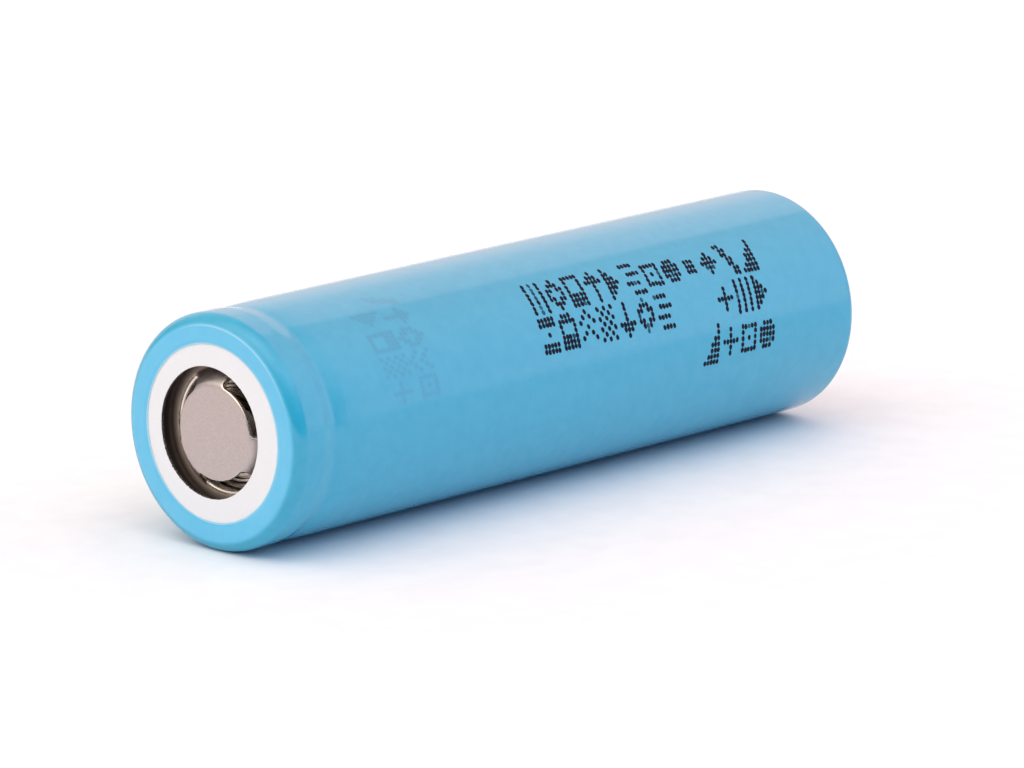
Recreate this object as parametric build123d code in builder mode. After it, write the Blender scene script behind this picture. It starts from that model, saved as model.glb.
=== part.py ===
from build123d import *
import math
import os

# Cylindrical lithium-ion cell, 18.3 mm across and 65.1 mm long over its film sleeve.
# Frame: +X runs along the cell's axis from the negative end to the positive end, +Z is up, the
# cell lies on its side. The origin is the centre of the negative terminal's exposed flat face.
# All sizes are millimetres, all angles degrees from +Y towards +Z.
# Profile tables have the columns (x, r, corner radius) and are revolved about the X axis.

# ---- driving dimensions ---------------------------------------------------------------------
FILM = 0.10                   # shrunk sleeve film
CELL_R = 9.15                 # over the sleeve
CAN_R = CELL_R - FILM         # bare can
CAN_WALL = 0.25
CAN_IN_R = CAN_R - CAN_WALL
CAN_FLOOR = 0.30
X_FLOOR = 0.0                 # outer face of the can's floor: the negative terminal
X_FLOOR_IN = X_FLOOR + CAN_FLOOR
X_CRIMP = 64.66               # outer face of the crimped lip
X_CRIMP_IN = X_CRIMP - CAN_WALL
CRIMP_LIP_R = 6.10            # inner edge of the can's rolled lip
SEAT_GAP = 0.01               # clearance of the gasket on the bead and of the ring on the vent

# bead groove in the can
BEAD_R = 7.72                 # outside radius at the bottom of the groove
BEAD_SHOULDERS_X = (59.50, 62.10)
BEAD_FLOOR_X = (60.45, 61.65)

# sleeve and washer
WASHER_T = 0.24
WASHER_R = 8.05
WASHER_HOLE_R = 5.07
X_NEG_LIP = -FILM             # outermost plane of the sleeve at the negative end
X_POS_LIP = X_CRIMP + WASHER_T + FILM
POS_LIP_R = 6.85              # sleeve opening over the washer
NEG_LIP_R = 7.15              # sleeve opening over the can's floor
NECK_R = 9.00                 # sleeve radius where the film bridges the groove

# cap, vent and current-interrupt stack
CAP_T = 0.35
X_FLANGE = 63.52              # outer face of the cap's flange
X_BUTTON = 64.70              # outer face of the cap's button
FLANGE_R = 7.88
BUTTON_R = 3.75               # where the button's face would meet the leg cone
LEG_FOOT_R = 4.95             # where the leg cone would meet the flange
LEG_CENTRES = (102.0, 222.0, 342.0)
LEG_TO_WINDOW = 60            # angle from a leg to the next window
WINDOW_IN_R = 3.80
WINDOW_OUT_R = 4.83
WINDOW_SPAN = 74.0
WINDOW_CORNER = 0.38
VENT_T = 0.30
VENT_R = 8.25
HEM_T = 0.25
HEM_IN_R = 6.55
SCORE_R = 3.90                # rupture score, where the diaphragm parts from the rim
SCORE_GAP = 0.02
X_HEM = X_FLANGE + HEM_T
X_VENT_RIM = X_FLANGE - CAP_T - VENT_T
X_VENT_LOW = X_VENT_RIM - 0.82          # inner face of the vent's sunk ring
X_VENT_LOW_OUT = X_VENT_LOW + VENT_T    # outer face of the sunk ring
X_WELD = X_VENT_LOW - 0.90    # inner face of the weld boss and of the support disc
SUPPORT_T = 0.45
PLATE_T = 0.15

# electrode roll
PITCH = 0.41                  # one winding: two electrodes, two separators, their clearances
ROLL_R0 = 1.62
SEP_T = 0.02
SHEET_T = 0.165
ROLL_GAP = 0.01
SEP_X = (0.85, 58.85)
ANODE_X = (1.35, 58.35)
CATHODE_X = (1.85, 57.85)

# radial offsets of the four layers from the spiral
OFF_SEP_IN = 0.0
OFF_ANODE = OFF_SEP_IN + SEP_T + ROLL_GAP
OFF_SEP_OUT = OFF_ANODE + SHEET_T + ROLL_GAP
OFF_CATHODE = OFF_SEP_OUT + SEP_T + ROLL_GAP

# tabs and the insulating discs at the ends of the roll
TAB_W = 4.0
TAB_T = 0.10
TAB_TAPE_T = 0.025
TAB_GAP = 0.002               # foil to tab, and tab to tape
BARE_OVERCUT = 0.004          # how far the bare stripe's cut passes the sheet's outer face
DISC_T = 0.25
DISC_R = 8.45

os.makedirs("parts", exist_ok=True)


# ---- helpers --------------------------------------------------------------------------------
def save(built, name):
    built.part.label = name
    export_step(built.part, f"parts/{name}.step")


def parallel_path(path, distance):
    """The profile rows at a distance to the right of path, with corners that keep the wall even."""
    legs = []
    for (x0, r0, _), (x1, r1, _) in zip(path, path[1:]):
        length = math.hypot(x1 - x0, r1 - r0)
        legs.append(((x1 - x0) / length, (r1 - r0) / length))
    shifted = []
    for i, (x, r, corner) in enumerate(path):
        if i in (0, len(path) - 1):
            leg_x, leg_r = legs[0] if i == 0 else legs[-1]
            shifted.append((x + leg_r * distance, r - leg_x * distance, 0.0))
            continue
        (in_x, in_r), (out_x, out_r) = legs[i - 1], legs[i]
        reach = distance / (1 + in_x * out_x + in_r * out_r)
        right_turn = in_x * out_r - in_r * out_x < 0
        corner += -distance if right_turn else distance
        shifted.append(
            (x + (in_r + out_r) * reach, r - (in_x + out_x) * reach, max(corner, 0.02))
        )
    return shifted


def wall_profile(path, thickness):
    """Closed profile of an even wall lying to the right of path."""
    return path + parallel_path(path, thickness)[::-1]


def fillet_outline(profile):
    """Draw a profile's closed outline, for use inside BuildLine."""
    FilletPolyline(
        *[(x, r) for x, r, _ in profile],
        radius=[corner for _, _, corner in profile],
        close=True,
    )


def revolved(profile, grooves=()):
    """Revolve a profile, then cut ring grooves (x, r, width, height) from rectangles at 45."""
    with BuildPart() as solid:
        with BuildSketch(Plane.XY):
            with BuildLine():
                fillet_outline(profile)
            make_face()
        revolve(axis=Axis.X)
        if grooves:
            with BuildSketch(Plane.XY):
                for x, r, width, height in grooves:
                    with Locations((x, r)):
                        Rectangle(width, height, rotation=45)
            revolve(axis=Axis.X, mode=Mode.SUBTRACT)
    return solid


def revolved_polygon(points):
    """Revolve a sharp-cornered outline of (x, r) points."""
    with BuildPart() as solid:
        with BuildSketch(Plane.XY):
            with BuildLine():
                Polyline(*points, points[0])
            make_face()
        revolve(axis=Axis.X)
    return solid


def sector_lines(centre, r_in, r_out, mid, span):
    """Outline of a ring sector, for use inside BuildLine."""
    CenterArc(centre, r_in, mid - span / 2, span)
    CenterArc(centre, r_out, mid - span / 2, span)
    for angle in (math.radians(mid - span / 2), math.radians(mid + span / 2)):
        Line(
            (centre[0] + r_in * math.cos(angle), centre[1] + r_in * math.sin(angle)),
            (centre[0] + r_out * math.cos(angle), centre[1] + r_out * math.sin(angle)),
        )


def curved_strip(x_start, length, sector):
    """A strip along the axis whose section is a ring sector."""
    with BuildPart() as strip:
        with BuildSketch(Plane.YZ.offset(x_start)):
            with BuildLine():
                sector_lines(*sector)
            make_face()
        extrude(amount=length)
    return strip


def spiral_arcs(offset, turn0, turn1):
    """Half-circle arcs (centre y, radius, start angle, sweep) of one spiral surface."""
    arcs = []
    i = int(math.floor(turn0 * 2))
    while i / 2 < turn1 - 1e-9:
        start, end = max(turn0, i / 2), min(turn1, (i + 1) / 2)
        if end - start > 1e-6:
            centre_y = -PITCH / 4 if i % 2 == 0 else PITCH / 4
            radius = ROLL_R0 + i * PITCH / 2 + offset
            arcs.append((centre_y, radius, start * 360 % 360, (end - start) * 360))
        i += 1
    return arcs


def on_arc(arc, at_end):
    """The (y, z) point at the start or the end of an arc."""
    centre_y, radius, start, sweep = arc
    angle = math.radians(start + (sweep if at_end else 0))
    return centre_y + radius * math.cos(angle), radius * math.sin(angle)


def wound_sheet(offset, thickness, turn0, turn1, x_span, bare=None):
    """A strip wound on the spiral between two planes; bare is the ring sector left uncoated."""
    inner = spiral_arcs(offset, turn0, turn1)
    outer = spiral_arcs(offset + thickness, turn0, turn1)
    with BuildPart() as sheet:
        with BuildSketch(Plane.YZ.offset(x_span[0])):
            with BuildLine():
                for centre_y, radius, start, sweep in inner + outer:
                    CenterArc((centre_y, 0), radius, start, sweep)
                Line(on_arc(inner[0], False), on_arc(outer[0], False))
                Line(on_arc(inner[-1], True), on_arc(outer[-1], True))
            make_face()
            if bare:
                with BuildLine():
                    sector_lines(*bare)
                make_face(mode=Mode.SUBTRACT)
        extrude(amount=x_span[1] - x_span[0])
    return sheet


def half_width(radius, span):
    """Half the chord of an arc."""
    return radius * math.sin(math.radians(span / 2))


def tab_run_lines(centre, radius, mid, span, end_z):
    """Outline of a tab's flat run from its arc in the roll to end_z, for use inside BuildLine."""
    side = half_width(radius, span)
    arc_z = radius * math.cos(math.radians(span / 2)) * math.sin(math.radians(mid))
    CenterArc(centre, radius, mid - span / 2, span)
    Polyline(
        (centre[0] - side, arc_z),
        (centre[0] - side, end_z),
        (centre[0] + side, end_z),
        (centre[0] + side, arc_z),
    )


# ---- can: drawn steel cup, beaded below the header and crimped over the gasket ---------------
can_profile = wall_profile(
    [
        (X_FLOOR, 0.0, 0.0),
        (X_FLOOR, CAN_R, 0.75),
        (BEAD_SHOULDERS_X[0], CAN_R, 0.50),
        (BEAD_FLOOR_X[0], BEAD_R, 0.50),
        (BEAD_FLOOR_X[1], BEAD_R, 0.50),
        (BEAD_SHOULDERS_X[1], CAN_R, 0.45),
        (X_CRIMP, CAN_R, 0.95),
        (X_CRIMP, CRIMP_LIP_R, 0.0),
    ],
    CAN_WALL,
)
# the floor is thicker than the wall
can_profile[-1] = (X_FLOOR_IN, 0.0, 0.0)
can_profile[-2] = (X_FLOOR_IN, *can_profile[-2][1:])
# the groove is left by the electrode that welds the negative tab to the floor through the core
save(revolved(can_profile, grooves=[(X_FLOOR, 0.98, 0.05, 0.22)]), "can")

# ---- heat-shrunk film sleeve, folded over both ends and bridging the bead --------------------
sleeve_path = [
    (X_NEG_LIP, NEG_LIP_R, 0.0),
    (X_NEG_LIP, CELL_R, 0.85),
    (59.55, CELL_R, 4.0),
    (60.62, NECK_R, 3.0),
    (61.10, NECK_R, 3.0),
    (62.17, CELL_R, 3.5),
    (X_POS_LIP, CELL_R, 1.05),
    (X_POS_LIP, POS_LIP_R, 0.0),
]
save(revolved(wall_profile(sleeve_path, FILM)), "heat_shrink_sleeve")

# ---- white insulating washer on the crimp ----------------------------------------------------
with BuildPart() as washer:
    with BuildSketch(Plane.YZ.offset(X_CRIMP)):
        Circle(WASHER_R)
        Circle(WASHER_HOLE_R, mode=Mode.SUBTRACT)
    extrude(amount=WASHER_T)
save(washer, "insulating_washer")

# ---- positive cap: pressed button on three legs, three vent windows between them --------------
cap_path = [
    (X_FLANGE, FLANGE_R, 0.0),
    (X_FLANGE, LEG_FOOT_R, 0.30),
    (X_BUTTON, BUTTON_R, 0.65),
    (X_BUTTON, 0.0, 0.0),
]
with BuildPart() as cap:
    with BuildSketch(Plane.XY):
        with BuildLine():
            fillet_outline(wall_profile(cap_path, CAP_T))
        make_face()
    revolve(axis=Axis.X)
    # the cut starts inside the flange and ends beyond the button
    with BuildSketch(Plane.YZ.offset(X_FLANGE - 1.0)) as windows:
        for leg in LEG_CENTRES:
            with BuildLine():
                sector_lines(
                    (0, 0), WINDOW_IN_R, WINDOW_OUT_R, leg + LEG_TO_WINDOW, WINDOW_SPAN
                )
            make_face()
        fillet(windows.vertices(), WINDOW_CORNER)
    extrude(amount=2.6, mode=Mode.SUBTRACT)
    # broken edges round the flange, so that the vent's rolled hem closes on it
    fillet(
        cap.edges().filter_by(GeomType.CIRCLE).filter_by(
            lambda e: abs(e.radius - FLANGE_R) < 1e-3
        ),
        0.12,
    )
save(cap, "positive_cap")

# ---- vent disc: rim hemmed round the cap's flange, sunk ring out to the rupture score ---------
vent_profile = [
    (X_HEM, HEM_IN_R, 0.08),
    (X_HEM, VENT_R, 0.35),
    (X_VENT_RIM, VENT_R, 0.40),
    (X_VENT_RIM, 5.75, 0.40),
    (X_VENT_LOW, 5.05, 0.15),
    (X_VENT_LOW, SCORE_R, 0.0),
    (X_VENT_LOW_OUT, SCORE_R, 0.08),
    (X_VENT_LOW_OUT, 4.84, 0.15),
    (X_VENT_RIM + VENT_T, 5.56, 0.40),
    (X_VENT_RIM + VENT_T, VENT_R - VENT_T, 0.10),
    (X_FLANGE, VENT_R - VENT_T, 0.08),
    (X_FLANGE, HEM_IN_R, 0.0),
]
# coined rings in the sunk face: the outer one stiffens it, the inner one is the score's land
vent_rings = [(X_VENT_LOW_OUT, r, 0.16, 0.14) for r in (4.62, 4.24)]
save(revolved(vent_profile, vent_rings), "vent_disc")

# ---- vent diaphragm: the dished centre, welded to the plate below until it trips --------------
X_BOSS_OUT = X_WELD + 0.22    # outer face of the weld boss
diaphragm_path = [
    (X_VENT_LOW, SCORE_R - SCORE_GAP, 0.0),
    (X_VENT_LOW, 2.70, 0.35),
    (X_WELD, 1.20, 0.30),
    (X_WELD, 0.0, 0.0),
]
rim_end, rim_bend = parallel_path(diaphragm_path, -VENT_T)[:2]
diaphragm_profile = diaphragm_path + [
    (X_BOSS_OUT, 0.0, 0.0),
    (X_BOSS_OUT, 1.02, 0.25),
    (*rim_bend[:2], 0.20),
    rim_end,
]
diaphragm_rings = [(X_VENT_LOW_OUT, r, 0.14, 0.12) for r in (3.52, 3.18)]
save(revolved(diaphragm_profile, diaphragm_rings), "vent_diaphragm")

# ---- crimp gasket: seals the header to the can and insulates it -------------------------------
GASKET_LIP_R = 5.70           # inner edge under the can's lip
GASKET_FOOT_R = 7.97          # where the gasket leaves the bead's flank
GASKET_IN_R = 6.90            # inner edge below the vent's rim
flank_slope = (BEAD_SHOULDERS_X[1] - BEAD_FLOOR_X[1]) / (CAN_R - BEAD_R)
x_flank_in = BEAD_FLOOR_X[1] + CAN_WALL / math.cos(math.atan(flank_slope))


def x_on_flank(radius):
    """Place just clear of the inside of the bead's flank on the positive side."""
    return x_flank_in + flank_slope * (radius - BEAD_R) + SEAT_GAP


gasket_profile = [
    (X_FLANGE, GASKET_LIP_R, 0.0),
    (X_CRIMP_IN, GASKET_LIP_R, 0.15),
    (X_CRIMP_IN, CAN_IN_R, 0.71),
    (x_on_flank(CAN_IN_R), CAN_IN_R, 0.22),
    (x_on_flank(GASKET_FOOT_R), GASKET_FOOT_R, 0.0),
    (x_on_flank(GASKET_FOOT_R), GASKET_IN_R, 0.15),
    (X_VENT_RIM, GASKET_IN_R, 0.10),
    (X_VENT_RIM, VENT_R, 0.35),
    (X_HEM, VENT_R, 0.35),
    (X_HEM, HEM_IN_R, 0.0),
    (X_FLANGE, HEM_IN_R, 0.0),
]
save(revolved(gasket_profile), "crimp_gasket")

# ---- current-interrupt stack: insulator ring, perforated support disc, weld plate -------------
ring_points = [
    (X_WELD + SUPPORT_T, 4.20),
    (X_VENT_LOW - SEAT_GAP, 4.20),
    (X_VENT_LOW - SEAT_GAP, 5.12),
    (X_VENT_LOW + 0.40, 5.50),
    (X_VENT_LOW + 0.40, 6.30),
    (X_WELD, 6.30),
    (X_WELD, 5.85),
    (X_WELD + SUPPORT_T, 5.85),
]
save(revolved_polygon(ring_points), "cid_insulator_ring")

SUPPORT_R = 5.83
SUPPORT_HOLE_R = 2.20
SUPPORT_VENT_R = 0.58         # each of the six small holes
SUPPORT_VENT_CIRCLE_R = 3.48
with BuildPart() as support:
    with BuildSketch(Plane.YZ.offset(X_WELD)):
        Circle(SUPPORT_R)
        Circle(SUPPORT_HOLE_R, mode=Mode.SUBTRACT)
        with PolarLocations(SUPPORT_VENT_CIRCLE_R, 6):
            Circle(SUPPORT_VENT_R, mode=Mode.SUBTRACT)
    extrude(amount=SUPPORT_T)
save(support, "cid_support_disc")

PLATE_R = 2.80
with BuildPart() as plate:
    with BuildSketch(Plane.YZ.offset(X_WELD - PLATE_T)):
        Circle(PLATE_R)
    extrude(amount=PLATE_T)
save(plate, "weld_plate")

# ---- where the tabs sit in the roll ------------------------------------------------------------
# Each tab lies on a bare stripe of foil, in the half turn that starts at the given turn.
POS_TURN, NEG_TURN = 8, 15.5
POS_FOIL_T, NEG_FOIL_T = 0.035, 0.030   # sheet's inner face to the bare foil's outer face
POS_MID, NEG_MID = 90, 270
pos_centre = (-PITCH / 4, 0)
neg_centre = (PITCH / 4, 0)


def tab_seat(turn, offset, foil_t):
    """Radii of the bare foil and of the stripe's cut, and the angle a tab spans."""
    base = ROLL_R0 + turn * PITCH + offset
    foil = base + foil_t
    return foil, base + SHEET_T + BARE_OVERCUT, math.degrees(TAB_W / foil)


pos_foil, pos_cut, pos_span = tab_seat(POS_TURN, OFF_CATHODE, POS_FOIL_T)
neg_foil, neg_cut, neg_span = tab_seat(NEG_TURN, OFF_ANODE, NEG_FOIL_T)
pos_in, neg_in = pos_foil + TAB_GAP, neg_foil + TAB_GAP
pos_out, neg_out = pos_in + TAB_T, neg_in + TAB_T

# ---- electrode roll: two separators, anode and cathode wound on one spiral ---------------------
save(wound_sheet(OFF_SEP_IN, SEP_T, 0.0, 16.75, SEP_X), "separator_inner")
save(wound_sheet(OFF_SEP_OUT, SEP_T, 0.10, 16.70, SEP_X), "separator_outer")

cathode_bare = (pos_centre, pos_foil, pos_cut, POS_MID, pos_span + 7)
cathode = wound_sheet(OFF_CATHODE, SHEET_T, 1.0, 15.70, CATHODE_X, cathode_bare)
save(cathode, "cathode_sheet")

anode_bare = (neg_centre, neg_foil, neg_cut, NEG_MID, neg_span + 5)
anode = wound_sheet(OFF_ANODE, SHEET_T, 0.60, 16.40, ANODE_X, anode_bare)
save(anode, "anode_sheet")

# closing tape that holds the roll's last turn
save(curved_strip(3.0, 53.0, ((0, 0), 8.66, 8.71, 200, 330)), "roll_closing_tape")

# ---- positive tab: leaves the cathode, folds back under the weld plate -------------------------
X_POS_TAB = 8.0               # end of the tab inside the roll
X_TAB_LOW = 59.62             # lower run's face towards the roll
X_TAB_TOP = X_WELD - PLATE_T - TAB_T
FOLD_Z = -3.2
TAB_END_Z = 2.1
fold_r = (X_TAB_TOP - X_TAB_LOW) / 2    # hairpin radius at the middle of the tab's thickness
fold_centre = (X_TAB_LOW + fold_r + TAB_T / 2, FOLD_Z)
pos_side = half_width(pos_out, pos_span)
with BuildPart() as pos_tab:
    # part wound with the cathode, curved to the roll
    with BuildSketch(Plane.YZ.offset(X_POS_TAB)):
        with BuildLine():
            sector_lines(pos_centre, pos_in, pos_out, POS_MID, pos_span)
        make_face()
    extrude(amount=X_TAB_LOW + TAB_T - X_POS_TAB)
    # lower run across the core
    with BuildSketch(Plane.YZ.offset(X_TAB_LOW)):
        with BuildLine():
            tab_run_lines(pos_centre, pos_out, POS_MID, pos_span, FOLD_Z)
        make_face()
    extrude(amount=TAB_T)
    # hairpin and upper run, which is welded to the plate
    with BuildSketch(Plane.XZ.offset(-(pos_centre[0] + pos_side))):
        with BuildLine():
            CenterArc(fold_centre, fold_r + TAB_T / 2, 180, 180)
            CenterArc(fold_centre, fold_r - TAB_T / 2, 180, 180)
            Line((X_TAB_LOW, FOLD_Z), (X_TAB_LOW + TAB_T, FOLD_Z))
            Polyline(
                (X_TAB_TOP, FOLD_Z),
                (X_TAB_TOP, TAB_END_Z),
                (X_TAB_TOP + TAB_T, TAB_END_Z),
                (X_TAB_TOP + TAB_T, FOLD_Z),
            )
        make_face()
    extrude(amount=2 * pos_side)
save(pos_tab, "positive_tab")

pos_tape_in = pos_out + TAB_GAP
pos_tape = (pos_centre, pos_tape_in, pos_tape_in + TAB_TAPE_T, POS_MID, pos_span + 5)
save(curved_strip(4.0, 54.6, pos_tape), "positive_tab_tape")

# ---- negative tab: welded to the anode's last turn, folds under the roll to the can's floor ----
with BuildPart() as neg_tab:
    with BuildSketch(Plane.YZ.offset(X_FLOOR_IN)):
        with BuildLine():
            sector_lines(neg_centre, neg_in, neg_out, NEG_MID, neg_span)
        make_face()
    extrude(amount=50.0)
    # flat run across the floor
    with BuildSketch(Plane.YZ.offset(X_FLOOR_IN)):
        with BuildLine():
            tab_run_lines(neg_centre, neg_out, NEG_MID, neg_span, 2.2)
        make_face()
    extrude(amount=TAB_T)
save(neg_tab, "negative_tab")

neg_tape_in = neg_out + TAB_GAP
neg_tape = (neg_centre, neg_tape_in, neg_tape_in + TAB_TAPE_T, NEG_MID, neg_span + 3)
save(curved_strip(1.6, 55.0, neg_tape), "negative_tab_tape")

# ---- insulating discs at the two ends of the roll ----------------------------------------------
HOLE_R = 1.25
HOLE_PLACE_R = 5.2
with BuildPart() as top_disc:
    with BuildSketch(Plane.YZ.offset(58.90)):
        Circle(DISC_R)
        Circle(1.50, mode=Mode.SUBTRACT)
        with Locations((HOLE_PLACE_R, 0), (-HOLE_PLACE_R, 0), (0, -HOLE_PLACE_R)):
            Circle(HOLE_R, mode=Mode.SUBTRACT)
        # slot for the positive tab
        with BuildLine():
            sector_lines(pos_centre, pos_in - 0.25, pos_out + 0.30, POS_MID, pos_span + 8)
        make_face(mode=Mode.SUBTRACT)
    extrude(amount=DISC_T)
save(top_disc, "upper_insulator")

with BuildPart() as bottom_disc:
    with BuildSketch(Plane.YZ.offset(0.45)):
        Circle(DISC_R)
        Circle(1.60, mode=Mode.SUBTRACT)
        # notch for the negative tab
        with Locations((neg_centre[0], -8.6)):
            Rectangle(5.0, 1.9, mode=Mode.SUBTRACT)
    extrude(amount=DISC_T)
save(bottom_disc, "lower_insulator")

# ---- rolled steel pin in the roll's core, with tapered ends and a slot along its +Z side --------
PIN_X = (1.2, 58.2)
PIN_TAPER_X = (1.9, 57.5)
PIN_R = 1.40
PIN_IN_R = 1.18               # bore, and outside radius at the ends
PIN_END_IN_R = 0.95
SLOT_W = 0.35
with BuildPart() as pin:
    with BuildSketch(Plane.XY):
        with BuildLine():
            Polyline(
                (PIN_X[0], PIN_END_IN_R),
                (PIN_X[0], PIN_IN_R),
                (PIN_TAPER_X[0], PIN_R),
                (PIN_TAPER_X[1], PIN_R),
                (PIN_X[1], PIN_IN_R),
                (PIN_X[1], PIN_END_IN_R),
                (PIN_TAPER_X[1], PIN_IN_R),
                (PIN_TAPER_X[0], PIN_IN_R),
                (PIN_X[0], PIN_END_IN_R),
            )
        make_face()
    revolve(axis=Axis.X)
    with BuildSketch(Plane.XY.offset(1.0)):
        with Locations((sum(PIN_X) / 2, 0)):
            Rectangle(60, SLOT_W)
    extrude(amount=1.0, mode=Mode.SUBTRACT)
save(pin, "center_pin")
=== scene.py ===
"""A cylindrical battery cell in a blue shrink film, with a white washer and a vented button cap.

The cell lies on the floor with its axis on X: the can's floor is near X = 0 and the button
points along +X. Lengths are in millimetres and become metres as each mesh is made. Profiles are
points (x, r), with r the distance from the axis. Angles go from +Y towards +Z.
"""
import math
from functools import cached_property

import bmesh
import bpy
import numpy as np
from mathutils import Matrix, Vector
from mathutils.geometry import delaunay_2d_cdt


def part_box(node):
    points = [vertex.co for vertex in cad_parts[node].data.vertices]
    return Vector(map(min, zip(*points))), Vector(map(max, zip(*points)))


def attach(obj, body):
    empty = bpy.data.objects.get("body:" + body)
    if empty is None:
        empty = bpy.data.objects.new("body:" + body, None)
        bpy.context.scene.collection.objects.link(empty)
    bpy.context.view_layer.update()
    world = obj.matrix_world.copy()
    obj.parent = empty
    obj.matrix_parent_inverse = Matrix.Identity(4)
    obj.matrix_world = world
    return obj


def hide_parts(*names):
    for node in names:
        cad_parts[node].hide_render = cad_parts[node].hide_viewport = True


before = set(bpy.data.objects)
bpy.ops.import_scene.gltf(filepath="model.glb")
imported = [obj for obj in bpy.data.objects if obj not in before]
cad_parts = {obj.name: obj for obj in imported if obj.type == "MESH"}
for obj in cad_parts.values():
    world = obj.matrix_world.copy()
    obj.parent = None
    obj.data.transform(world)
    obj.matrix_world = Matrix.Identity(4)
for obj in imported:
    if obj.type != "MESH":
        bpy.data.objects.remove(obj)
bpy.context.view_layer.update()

MM = 0.001
rng = np.random.default_rng(18650)

# ---- driving dimensions ------------------------------------------------------------------------


def box_mm(node):
    """Lowest and highest corner of a CAD piece."""
    low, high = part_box(node)
    return np.array(low) * 1000, np.array(high) * 1000


sleeve_low, sleeve_high = box_mm("heat_shrink_sleeve")
washer_low, washer_high = box_mm("insulating_washer")
can_low, can_high = box_mm("can")
cap_high = box_mm("positive_cap")[1]
X_NEG_LIP, X_POS_LIP, CELL_R = sleeve_low[0], sleeve_high[0], sleeve_high[1]
X_CRIMP, X_WASHER, WASHER_R = washer_low[0], washer_high[0], washer_high[1]
X_FLOOR, CAN_R = can_low[0], can_high[1]
X_BUTTON, FLANGE_R = cap_high[0], cap_high[1]
X_FLANGE = 63.52                    # outer face of the cap's flange

FILM_T = 0.10
CAN_WALL, CAN_FLOOR = 0.25, 0.30
CAN_IN_R = CAN_R - CAN_WALL
BEAD_R, NECK_R = 7.72, 9.00         # bottom of the can's groove, and of the film over it
X_GROOVE_END, X_GROOVE_OUT = 61.65, 62.10   # the groove's +X flank, bottom and top
CAP_T, VENT_T, HEM_T = 0.35, 0.30, 0.25
X_VENT_RIM = X_FLANGE - CAP_T - VENT_T
X_VENT_LOW = X_VENT_RIM - 0.82
X_VENT_TOP = X_VENT_LOW + VENT_T    # +X face of the vent's sunken part
SCORE_R, SCORE_GAP = 3.90, 0.02     # the gap between vent disc and diaphragm
COIN = 0.07                         # depth of the coined rings

# ---- profiles and noise ------------------------------------------------------------------------


def fillet_path(points, radii, step=7.0, closed=False):
    """Rounds a polyline's corners, an arc point every `step` degrees or less.

    radii has one value for each point of a closed path, or for each inner point of an open one.
    """
    points = [np.array(p, float) for p in points]
    n = len(points)
    out = []
    for i, corner in enumerate(points):
        if not closed and i in (0, n - 1):
            out.append(corner)
            continue
        radius = radii[i] if closed else radii[i - 1]
        back, ahead = points[i - 1] - corner, points[(i + 1) % n] - corner
        back, ahead = back / np.linalg.norm(back), ahead / np.linalg.norm(ahead)
        turn = math.pi - math.acos(max(-1, min(1, float(back @ ahead))))
        if radius <= 0 or turn < 1e-4:
            out.append(corner)
            continue
        cut = radius * math.tan(turn / 2)
        bisector = (back + ahead) / np.linalg.norm(back + ahead)
        centre = corner + bisector * (radius / math.cos(turn / 2))
        start = math.atan2(*(corner + back * cut - centre)[::-1])
        end = math.atan2(*(corner + ahead * cut - centre)[::-1])
        sweep = (end - start + math.pi) % (2 * math.pi) - math.pi
        count = max(2, int(math.degrees(abs(sweep)) / step) + 1)
        for j in range(count + 1):
            angle = start + sweep * j / count
            out.append(centre + radius * np.array([math.cos(angle), math.sin(angle)]))
    return np.array(out)


def densify(path, spacing):
    """Adds points to a polyline so that steps are about spacing(x, r) or less."""
    out = [path[0]]
    for a, b in zip(path[:-1], path[1:]):
        length = np.linalg.norm(b - a)
        position = 0.0
        # straights are walked in small steps, so that the local spacing is followed
        while length > 1e-9:
            gap = spacing(*(a + (b - a) * position / length))
            if length - position <= gap * 1.5:
                break
            position += gap
            out.append(a + (b - a) * position / length)
        out.append(b)
    return np.array(out)


def path_normals(path):
    """Unit normals on the left of the path's direction."""
    d = np.gradient(path, axis=0)
    d /= np.linalg.norm(d, axis=1)[:, None] + 1e-12
    return np.stack([-d[:, 1], d[:, 0]], 1)


def offset_path(points, radii, distance):
    """The parallel path to the right of points, and the corner radii that keep the wall even."""
    out, out_radii, dirs = [], [], []
    last = len(points) - 1
    for (x0, r0), (x1, r1) in zip(points, points[1:]):
        length = math.hypot(x1 - x0, r1 - r0)
        dirs.append(((x1 - x0) / length, (r1 - r0) / length))
    for i, (x, r) in enumerate(points):
        if i in (0, last):
            dx, dr = dirs[0] if i == 0 else dirs[-1]
            out.append((x + dr * distance, r - dx * distance))
            continue
        (ax, ar), (bx, br) = dirs[i - 1], dirs[i]
        k = distance / (1 + ax * bx + ar * br)
        out.append((x + (ar + br) * k, r - (ax + bx) * k))
        turns_right = ax * br - ar * bx < 0
        out_radii.append(max(radii[i - 1] + (-distance if turns_right else distance), 0.02))
    return out, out_radii


def waves(theta, turns, falloff, seed):
    """Smooth noise round the axis, about -1..1, of turns[0] to turns[1] waves a turn."""
    random = np.random.default_rng(seed)
    out = np.zeros(theta.shape)
    power = 0.0
    for k in range(turns[0], turns[1] + 1):
        height = random.normal() / k**falloff
        out = out + height * np.cos(k * theta + random.uniform(0, 2 * math.pi))
        random.normal()             # not used, but the next wave depends on this draw
        power += height * height / 2
    return out / (2.2 * math.sqrt(power + 1e-12))


def smoothstep(start, end, value):
    t = np.clip((value - start) / (end - start), 0, 1)
    return t * t * (3 - 2 * t)


def bell(value, middle, width):
    return np.exp(-(((value - middle) / width) ** 2))


# ---- meshes ------------------------------------------------------------------------------------


def shade(mesh, sharp):
    """Smooth shading, with edges over `sharp` degrees kept sharp."""
    mesh.shade_smooth()
    mesh.set_sharp_from_angle(angle=math.radians(sharp))


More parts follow.
